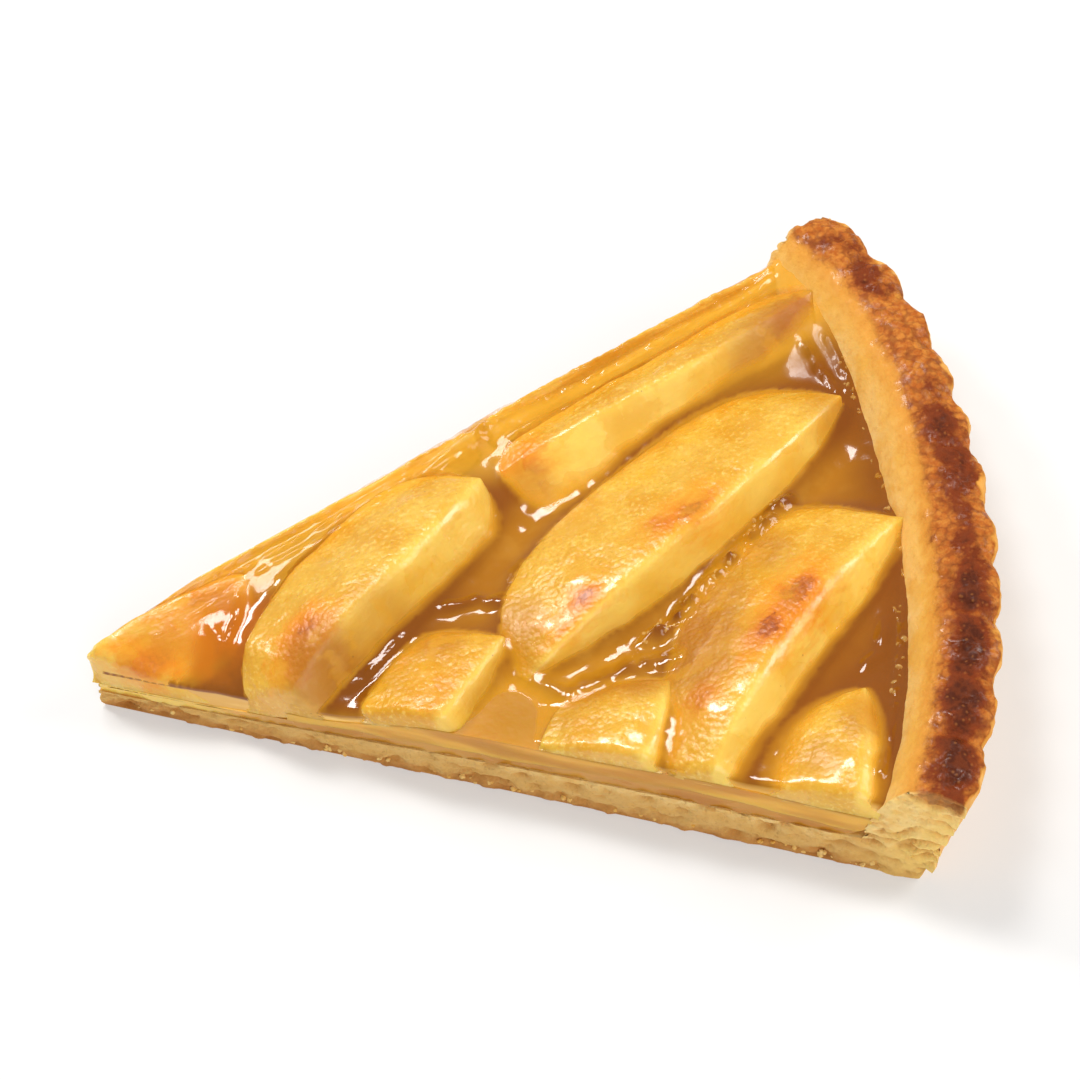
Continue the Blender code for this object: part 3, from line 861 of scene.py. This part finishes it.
def makeSlice(name, facts, seed):
    isStrip = name.startswith("strip")
    mesh = gridBlock(name, sliceMesh["counts"], sliceShape(facts), ("cutSide", "nearRidge"))
    soften(mesh, mesh.verts, sliceMesh["softer"].get(name, sliceMesh["softening"]))
    roughen(mesh, (stripRelief if isStrip else sliceRelief)(seed))
    proud = sliceMesh["stripProud" if isStrip else "proud"]
    for side in (-1, 1):
        cutFlat(mesh, side, proud, sliceMesh["edgeRadius"])
    first, *others = name.split("_")
    title = first + "".join(word.capitalize() for word in others)
    finish = stripFinish if isStrip else appleFinish
    piece = finishPiece(title, mesh, finish(title, facts), [name])
    return piece


slicePieces = [makeSlice(name, facts, 11.0 * k) for k, (name, facts) in enumerate(slices.items())]
print("apple slices made:", len(slicePieces))


# jelly: one pool that fills the valleys, climbs the slices' sides and thins out on them

jelly = dict(
    counts=(250, 190, 4),
    climb=2.3,  # how high it rises on the fruit
    reach=1.9,  # over this distance
    sink=0.22,  # its cut faces stand behind those of the fruit
    edgeRadius=1.4,
    ripple=0.2,
    # its level at the front cut, along the middle and at the back cut, by distance from the tart's centre
    front=(
        (0, 6.0), (10, 7.4), (21, 9.8), (30, 7.4), (44, 10.8),
        (58, 10.3), (68, 11.2), (84, 12.9), (104, 14.2), (118, 15.6),
    ),
    middle=((0, 10.5), (14, 12.2), (30, 12.2), (60, 12.2), (84, 12.3), (98, 12.6), (110, 12.9), (118, 14.2)),
    back=(
        (0, 11.2), (12, 13.4), (30, 14.4), (52, 15.2), (64, 16.2),
        (72, 16.6), (84, 14.8), (100, 15.6), (112, 15.2), (118, 17.2),
    ),
)
# folds and threads in its surface: the points each runs through, and its height and width
folds = (
    dict(path=((78.0, -16.6), (88.0, -9.0), (97.0, -0.8), (104.5, 7.6)), height=1.1, width=1.2, crinkle=1.7),
    dict(path=((60.5, -16.5), (68.0, -21.0), (78.0, -18.6), (88.0, -19.6)), height=0.8, width=1.5),
    dict(path=((50.5, -3.2), (57.0, -2.4), (64.5, -5.0)), height=0.7, width=1.0),
    dict(path=((19.2, 0.5), (20.4, -2.6), (19.6, -4.6)), height=0.5, width=0.5),
    dict(path=((23.6, 5.6), (23.0, 1.4), (20.6, -3.6)), height=0.6, width=0.5),
    dict(path=((38.0, -13.5), (44.0, -9.0), (48.0, -5.4)), height=0.35, width=0.6),
    dict(path=((106.5, -27.0), (110.5, -24.0), (113.0, -17.0)), height=0.6, width=0.9),
    dict(
        path=((115.4, -15.9), (113.1, -26.0), (110.3, -35.7), (106.4, -46.5)),
        height=0.6, width=0.45, crinkle=0.8,
    ),
    dict(path=((109.4, 35.0), (111.0, 29.0), (113.4, 23.0)), height=0.9, width=0.6, crinkle=1.2),
    dict(path=((113.0, 35.5), (114.4, 29.0), (114.8, 22.0)), height=0.7, width=0.6, crinkle=1.0),
    dict(path=((2.0, 1.6), (24.0, 10.8), (46.0, 20.6), (57.0, 25.8)), height=0.7, width=0.7),
    dict(path=((64.0, 23.6), (78.0, 29.6), (94.0, 37.4), (108.0, 44.4)), height=0.8, width=0.8),
    dict(path=((55.5, 22.4), (60.5, 24.6), (63.5, 28.6)), height=1.3, width=1.5),
)


def levelAt(radius, angle):
    side = angle / tart["halfAngle"]
    front, middle, back = [float(np.interp(radius, *zip(*jelly[key]))) for key in ("front", "middle", "back")]
    if side < 0.0:
        return lerp(middle, front, smooth(-side) ** 1.3)
    far = smooth((radius - 46.0) / 12.0)
    return lerp(middle, back, smooth((side - 0.3 * far) / lerp(0.75, 0.7, far)))


def blurred(field, spread):
    size = int(spread * 3.0) + 1
    kernel = np.exp(-((np.arange(-size, size + 1) / spread) ** 2) / 2.0)
    kernel /= kernel.sum()
    padded = np.pad(field, size, mode="edge")
    rows = np.apply_along_axis(lambda line: np.convolve(line, kernel, mode="valid"), 0, padded)
    return np.apply_along_axis(lambda line: np.convolve(line, kernel, mode="valid"), 1, rows)


def foldHeight(points, path, height, width, crinkle=0.5):
    # the rise that one fold adds at an array of plan points
    ends = np.array(path, dtype=float)
    nearest = np.full(len(points), 1e9)
    for a, b in zip(ends[:-1], ends[1:]):
        run = b - a
        t = np.clip(((points - a) @ run) / (run @ run), 0.0, 1.0)
        nearest = np.minimum(nearest, np.linalg.norm(points - (a + t[:, None] * run), axis=1))
    start = np.linalg.norm(points - ends[0], axis=1)
    finish = np.linalg.norm(points - ends[-1], axis=1)
    taper = np.clip(np.minimum(start, finish) / (3.0 * width), 0.25, 1.0)
    rise = height * taper * np.exp(-((nearest / width) ** 2))
    for k in np.nonzero(rise > 0.02)[0]:
        x, y = points[k]
        rise[k] *= max(0.1, 1.0 + crinkle * (lumps(x, y, height, 1.7) + 0.5 * lumps(x, y, width, 0.9)))
    return rise


def fruitSurface(step):
    # heights of the fruit seen from above, on a square grid over the slice
    trees = []
    for piece in slicePieces:
        corners = [corner.co.copy() for corner in piece.data.vertices]
        trees.append(BVHTree.FromPolygons(corners, [tuple(p.vertices) for p in piece.data.polygons]))
    xs, ys = np.arange(-4.0, 124.0, step), np.arange(-58.0, 60.0, step)
    heights = np.zeros((len(xs), len(ys)))
    for i, x in enumerate(xs):
        for j, y in enumerate(ys):
            top = 0.0
            above = Vector(inFrame(x, y, 40.0))
            for tree in trees:
                hit = tree.ray_cast(above, Vector((0.0, 0.0, -1.0)))[0]
                if hit is not None:
                    top = max(top, hit.z * 1000.0)
            heights[i, j] = top
    return xs, ys, heights


def sampled(xs, ys, field, x, y):
    i = min(len(xs) - 2.001, max(0.0, (x - xs[0]) / (xs[1] - xs[0])))
    j = min(len(ys) - 2.001, max(0.0, (y - ys[0]) / (ys[1] - ys[0])))
    i0, j0 = int(i), int(j)
    a, b = i - i0, j - j0
    low = lerp(field[i0, j0], field[i0, j0 + 1], b)
    return lerp(low, lerp(field[i0 + 1, j0], field[i0 + 1, j0 + 1], b), a)


def jellyFinish():
    finish = Finish("amberJelly", Coat_Roughness=0.02, Transmission_Weight=0.0)
    deep, cutFace, thin = finish.mark("deep"), finish.mark("cutFace"), finish.mark("thin")
    cloudy, fine = finish.grain(6.0, 3.0), finish.grain(1.6, 3.0)
    colour = finish.mix(deep.between(0.1, 1.1), (0.66, 0.31, 0.008), (0.45, 0.175, 0.004))
    colour = finish.mix(deep.between(0.8, 2.5), colour, (0.25, 0.068, 0.001))
    milky = cloudy.between(0.46, 0.66) * (1.0 - deep.between(0.9, 2.0))
    colour = finish.mix(milky * 0.3, colour, (0.62, 0.31, 0.035))
    colour = finish.mix(thin * 0.85, colour, (0.86, 0.47, 0.025))
    colour = finish.mix(finish.spot(21.0, 1.5, 13.0, 13.0, cloudy) * 0.85, colour, (0.58, 0.15, 0.002))
    colour = finish.mix(finish.spot(60.9, -23.2, 11.0, 8.0, cloudy) * 0.85, colour, (0.74, 0.36, 0.002))
    drawn = finish.grain(3.0, 3.0, stretch=(5.0, 5.0, 0.5))
    sliced = finish.mix(drawn.between(0.4, 0.6), (0.80, 0.41, 0.045), (0.92, 0.55, 0.10))
    colour = finish.mix(cutFace, colour, sliced)
    alpha = (deep.between(-0.35, 1.0) * (0.96 - thin * 0.4)).most(cutFace * deep.between(0.05, 0.5))
    dull = finish.spot(111.5, 31.5, 13.0, 9.0, cloudy) * 0.8
    rough = 0.08 + cloudy * 0.06 + dull * 0.3
    looks = dict(Base_Color=colour, Roughness=rough, Coat_Weight=1.0 - dull, Alpha=alpha)
    return finish.connect(cloudy + fine * 0.2, 0.12, 0.0006, **looks)


def backRidges(inside, along):
    # drawn-out ridges with small beads on them, parallel to the back cut
    line = inside + 0.6 * lumps(along, 5.0, 1.0, 13.0)
    rise = 0.0
    for centre, height in ((1.2, 0.45), (2.9, 0.42), (4.5, 0.25)):
        beads = 0.55 + 1.1 * lumps(along, centre * 4.0, 2.0, 1.2) + 0.6 * lumps(along, centre * 2.0, 7.0, 5.0)
        rise += height * bell(line, centre, 0.42) * max(0.0, beads)
    return rise * smooth(along / 14.0)


def makeJelly():
    step = 0.55
    xs, ys, fruit = fruitSurface(step)
    grid = np.array([(x, y) for x in xs for y in ys])
    radii, angles = np.hypot(grid[:, 0], grid[:, 1]), np.degrees(np.arctan2(grid[:, 1], grid[:, 0]))
    held = np.clip(angles, -26.0, 26.0)
    level = np.array([levelAt(r, a) for r, a in zip(radii, held)]).reshape(fruit.shape)
    clipped = np.clip(fruit, level, level + jelly["climb"])
    surface = blurred(clipped, jelly["reach"] / step)
    for fold in folds:
        surface += foldHeight(grid, **fold).reshape(fruit.shape)
    under = np.maximum(fruit, np.array([floorAt(r) for r in radii]).reshape(fruit.shape))

    def shape(u, v, w):
        angle = lerp(-tart["halfAngle"], tart["halfAngle"], v)
        level = levelAt(lerp(0.0, 117.0, u), angle)
        edge = innerWall(level, angle) + 0.5
        radius = lerp(2.2, edge, u)
        place = polar(radius, angle, 0.0)
        nearest = 1 if v > 0.5 else -1
        inside = -place.dot(cutDirection(nearest))
        if v < 1e-4 or v > 1.0 - 1e-4:
            place -= cutDirection(nearest) * jelly["sink"]
        top = sampled(xs, ys, surface, place.x, place.y) - shoulder(inside, jelly["edgeRadius"])
        ripple = lumps(place.x, place.y, 3.0, 5.5) + 0.45 * lumps(place.x, place.y, 8.0, 2.0)
        top += jelly["ripple"] * ripple
        if nearest > 0:
            top += backRidges(inside, radius)
        side = angle / tart["halfAngle"]
        resting = floorAt(radius) - tart["gap"]
        if radius > 33.0:
            resting = min(resting, fruitWaves(radius, side))
        low = min(max(baseTop(radius) + 0.4, resting), top - 0.4)
        depth = top - sampled(xs, ys, under, place.x, place.y)
        paler = smooth((side - 0.15) / 0.45) * (1.0 - smooth((radius - 54.0) / 8.0))
        thin = max(paler, smooth((side - 0.55) / 0.3))
        depth *= 1.0 - 0.6 * thin
        depth += 0.5 * bell(math.hypot(place.x - 21.5, place.y), 0.0, 3.5)
        cutFace = 1.0 if (v < 1e-4 or v > 1.0 - 1e-4) else 0.0
        return (place.x, place.y, lerp(low, top, w), depth, cutFace, thin)

    mesh = gridBlock("jelly", jelly["counts"], shape, ("deep", "cutFace", "thin"))
    piece = finishPiece("jelly", mesh, jellyFinish())
    piece.visible_shadow = False  # clear enough to let the light through
    print("jelly made,", len(piece.data.polygons), "faces")
    return xs, ys, surface, fruit


jellySurface = makeJelly()


# bubbles in the jelly and crumbs of crust: one tree strews small rounded lumps over a carrier surface

strewing = (
    dict(
        name="ribbonBubbles", of="jelly", along=((77.0, -16.5), (88.0, -8.2), (97.0, 0.4), (104.0, 8.6)),
        width=3.0, amount=0.35, smallest=0.3, largest=0.8, flatness=0.6, crag=0.05, seed=3,
    ),
    dict(
        name="heelBubbles", of="slices", along=((61.5, -14.6), (65.0, -10.8), (69.5, -9.0)),
        width=5.0, amount=0.5, smallest=0.3, largest=0.9, flatness=0.35, crag=0.05, seed=8,
    ),
    dict(
        name="wallBubbles", of="jelly",
        along=((114.5, 30.0), (116.0, 16.0), (116.6, 2.0), (116.4, -10.0), (111.0, -34.0)),
        width=1.6, amount=0.35, smallest=0.4, largest=1.1, flatness=0.5, crag=0.05, seed=5,
    ),
    dict(
        name="crustCrumbs", of="crust",
        amount=0.5, smallest=0.3, largest=1.0, flatness=0.7, crag=1.3, seed=9,
    ),
)


def strewingTree():
    tree = bpy.data.node_groups.new("strewn lumps", "GeometryNodeTree")
    tree.interface.new_socket("Carrier", in_out="INPUT", socket_type="NodeSocketGeometry")
    named = (("Amount", "NodeSocketFloat"), ("Smallest", "NodeSocketFloat"), ("Largest", "NodeSocketFloat"),
             ("Flatness", "NodeSocketFloat"), ("Crag", "NodeSocketFloat"), ("Seed", "NodeSocketInt"),
             ("Finish", "NodeSocketMaterial"))
    for title, kind in named:
        tree.interface.new_socket(title, in_out="INPUT", socket_type=kind)
    tree.interface.new_socket("Lumps", in_out="OUTPUT", socket_type="NodeSocketGeometry")

    def add(kind, settings=(), **values):
        made = tree.nodes.new(kind)
        for setting, value in dict(settings).items():
            setattr(made, setting, value)
        for title, value in values.items():
            socket = made.inputs[title.replace("_", " ")]
            if isinstance(value, bpy.types.NodeSocket):
                tree.links.new(value, socket)
            else:
                socket.default_value = value
        return made

    given = tree.nodes.new("NodeGroupInput").outputs
    scatter = dict(Mesh=given["Carrier"], Density=given["Amount"], Seed=given["Seed"])
    spread = add("GeometryNodeDistributePointsOnFaces", **scatter)
    ball = add("GeometryNodeMeshIcoSphere", Radius=1.0, Subdivisions=3)
    wobble = add("ShaderNodeTexNoise", Scale=1.4, Detail=2.0)
    offset = add("ShaderNodeVectorMath", {"operation": "SUBTRACT"})
    tree.links.new(wobble.outputs["Color"], offset.inputs[0])
    offset.inputs[1].default_value = (0.5, 0.5, 0.5)
    cragged = add("ShaderNodeVectorMath", {"operation": "SCALE"}, Scale=given["Crag"])
    tree.links.new(offset.outputs[0], cragged.inputs[0])
    lump = add("GeometryNodeSetPosition", Geometry=ball.outputs["Mesh"], Offset=cragged.outputs[0])
    sizes = add("FunctionNodeRandomValue", {"data_type": "FLOAT"}, Seed=given["Seed"])
    tree.links.new(given["Smallest"], sizes.inputs[2])
    tree.links.new(given["Largest"], sizes.inputs[3])
    turns = add("FunctionNodeRandomValue", {"data_type": "FLOAT_VECTOR"}, Seed=given["Seed"])
    turns.inputs[1].default_value = (math.tau, math.tau, math.tau)
    points, instance = spread.outputs["Points"], lump.outputs["Geometry"]
    placed = add("GeometryNodeInstanceOnPoints", Points=points, Instance=instance)
    flatten = add("ShaderNodeCombineXYZ", X=1.0, Y=1.0, Z=given["Flatness"])
    scaled = add("ShaderNodeVectorMath", {"operation": "SCALE"})
    tree.links.new(flatten.outputs[0], scaled.inputs[0])
    tree.links.new(sizes.outputs[1], scaled.inputs["Scale"])
    tree.links.new(turns.outputs[0], placed.inputs["Rotation"])
    tree.links.new(scaled.outputs[0], placed.inputs["Scale"])
    real = add("GeometryNodeRealizeInstances", Geometry=placed.outputs["Instances"])
    finished = add("GeometryNodeSetMaterial", Geometry=real.outputs["Geometry"], Material=given["Finish"])
    out = tree.nodes.new("NodeGroupOutput")
    tree.links.new(finished.outputs["Geometry"], out.inputs["Lumps"])
    return tree


def stitch(mesh, rows):
    for near, far in zip(rows[:-1], rows[1:]):
        for k in range(len(near) - 1):
            mesh.faces.new((near[k], near[k + 1], far[k + 1], far[k]))
    return mesh


def ribbon(path, width, heightAt):
    # a strip of small faces along a path over the surface whose height is heightAt(x, y)
    mesh = bmesh.new()
    ends = [Vector(point) for point in path]
    lengths = [(b - a).length for a, b in zip(ends[:-1], ends[1:])]
    rows, walked = [], 0.0
    while walked <= sum(lengths):
        rest, leg = walked, 0
        while leg < len(lengths) - 1 and rest > lengths[leg]:
            rest -= lengths[leg]
            leg += 1
        run = (ends[leg + 1] - ends[leg]).normalized()
        centre, across = ends[leg] + run * rest, Vector((-run.y, run.x)) * width * 0.5
        row = []
        for side in (-1.0, -0.5, 0.0, 0.5, 1.0):
            spot = centre + across * side
            row.append(mesh.verts.new(inFrame(spot.x, spot.y, heightAt(spot.x, spot.y))))
        rows.append(row)
        walked += 0.6
    return stitch(mesh, rows)


def crumbCarrier():
    # the lower part of the crust's front cut
    mesh = bmesh.new()
    rows = []
    for k in range(190):
        radius = 4.0 + k * 0.62
        places = [polar(radius, -tart["halfAngle"], z) for z in (0.45, 1.0, 1.6)]
        rows.append([mesh.verts.new(inFrame(*place)) for place in places])
    return stitch(mesh, rows)


def strew(facts, tree, carrierMesh, material):
    data = bpy.data.meshes.new(facts["name"] + "Carrier")
    carrierMesh.to_mesh(data)
    carrierMesh.free()
    carrier = linked(facts["name"] + "Carrier", data)
    modifier = carrier.modifiers.new("strew", "NODES")
    modifier.node_group = tree
    inputs = {item.name: item.identifier for item in tree.interface.items_tree if item.in_out == "INPUT"}
    given = dict(
        Amount=facts["amount"] * 1e6, Smallest=facts["smallest"] * 0.0005, Largest=facts["largest"] * 0.0005,
        Flatness=facts["flatness"], Crag=facts["crag"], Seed=facts["seed"], Finish=material,
    )
    for title, value in given.items():
        modifier[inputs[title]] = value
    carrier.update_tag()
    graph = bpy.context.evaluated_depsgraph_get()
    made = bpy.data.meshes.new_from_object(carrier.evaluated_get(graph))
    carrier.modifiers.remove(modifier)
    bpy.data.objects.remove(carrier)
    made.name = facts["name"]
    made.shade_smooth()
    piece = linked(facts["name"], made)
    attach(piece, "root")
    piece.visible_shadow = facts["of"] == "crust"
    print(facts["name"], "made,", len(made.polygons), "faces")


def beadFinish():
    finish = Finish("jellyBeads", Coat_Weight=1.0, Coat_Roughness=0.02)
    tone = finish.grain(5.0, 2.0)
    colour = finish.mix(tone.between(0.4, 0.6), (0.80, 0.44, 0.06), (0.90, 0.62, 0.20))
    return finish.connect(None, Base_Color=colour, Roughness=0.05 + tone * 0.08, Alpha=0.22 + tone * 0.3)


def strewAll():
    tree = strewingTree()
    beads = beadFinish()
    xs, ys, top, fruit = jellySurface
    upper = np.maximum(top, fruit)
    for facts in strewing:
        if facts["of"] == "crust":
            strew(facts, tree, crumbCarrier(), pastry)
            continue
        field = top if facts["of"] == "jelly" else upper

        def heightAt(x, y, field=field):
            return sampled(xs, ys, field, x, y) - 0.02

        strew(facts, tree, ribbon(facts["along"], facts["width"], heightAt), beads)


strewAll()


# floor, light and camera

studio = dict(
    target=(0.00142, 0.01716, 0.0),
    distance=0.4792,
    azimuth=1.279,
    elevation=50.065,
    roll=-10.0,
    lens=108.0,
    sensorWidth=36.0,
    nearest=0.01,
    floorSize=3.0,
    floorHeight=-0.0001,
    floorColour=(0.55, 0.55, 0.55),
    floorGlow=0.36,
    worldLight=0.30,
    lamps=(
        dict(name="leftLamp", place=(-0.38, 0.40, 0.56), size=0.15, power=2.0, colour=(1.0, 0.98, 0.95)),
        dict(name="topLamp", place=(-0.14, 0.34, 0.82), size=0.26, power=3.6, colour=(1.0, 0.99, 0.97)),
        dict(name="rightLamp", place=(0.62, 0.02, 0.46), size=0.30, power=1.9, colour=(1.0, 0.99, 0.97)),
        dict(name="frontLamp", place=(0.10, -0.72, 0.42), size=0.50, power=2.8, colour=(1.0, 0.99, 0.97)),
    ),
)


def makeStudio():
    sheet = bmesh.new()
    bmesh.ops.create_grid(sheet, x_segments=2, y_segments=2, size=studio["floorSize"])
    data = bpy.data.meshes.new("floor")
    sheet.to_mesh(data)
    sheet.free()
    ground = linked("floor", data)
    ground.location.z = studio["floorHeight"]
    white = (1.0, 1.0, 1.0, 1.0)
    pale = Finish(
        "paleFloor", Base_Color=(*studio["floorColour"], 1.0), Roughness=0.9, Specular_IOR_Level=0.0,
        Emission_Color=white, Emission_Strength=studio["floorGlow"],
    )
    data.materials.append(pale.material)
    world = bpy.data.worlds.new("studio")
    bpy.context.scene.world = world
    world.use_nodes = True
    backdrop = world.node_tree.nodes["Background"].inputs
    backdrop["Color"].default_value = white
    backdrop["Strength"].default_value = studio["worldLight"]
    target = Vector(studio["target"])
    for facts in studio["lamps"]:
        light = bpy.data.lights.new(facts["name"], "AREA")
        light.size = facts["size"]
        light.energy = facts["power"]
        light.color = facts["colour"]
        lamp = linked(facts["name"], light)
        lamp.location = facts["place"]
        lamp.rotation_euler = (target - lamp.location).to_track_quat("-Z", "Y").to_euler()
    azimuth, elevation, roll = [math.radians(studio[key]) for key in ("azimuth", "elevation", "roll")]
    level = math.cos(elevation)
    back = Vector((math.sin(azimuth) * level, -math.cos(azimuth) * level, math.sin(elevation)))
    right = Vector((0.0, 0.0, 1.0)).cross(back).normalized()
    up = back.cross(right)
    turned = right * math.cos(roll) + up * math.sin(roll)
    upright = up * math.cos(roll) - right * math.sin(roll)
    lens = bpy.data.cameras.new("photoCamera")
    lens.lens = studio["lens"]
    lens.sensor_width = studio["sensorWidth"]
    lens.clip_start = studio["nearest"]
    camera = linked("photoCamera", lens)
    axes = Matrix((turned, upright, back)).transposed().to_4x4()
    camera.matrix_world = Matrix.Translation(target + back * studio["distance"]) @ axes
    bpy.context.scene.camera = camera
    bpy.context.scene.view_settings.view_transform = "Standard"
    print("studio ready")


makeStudio()
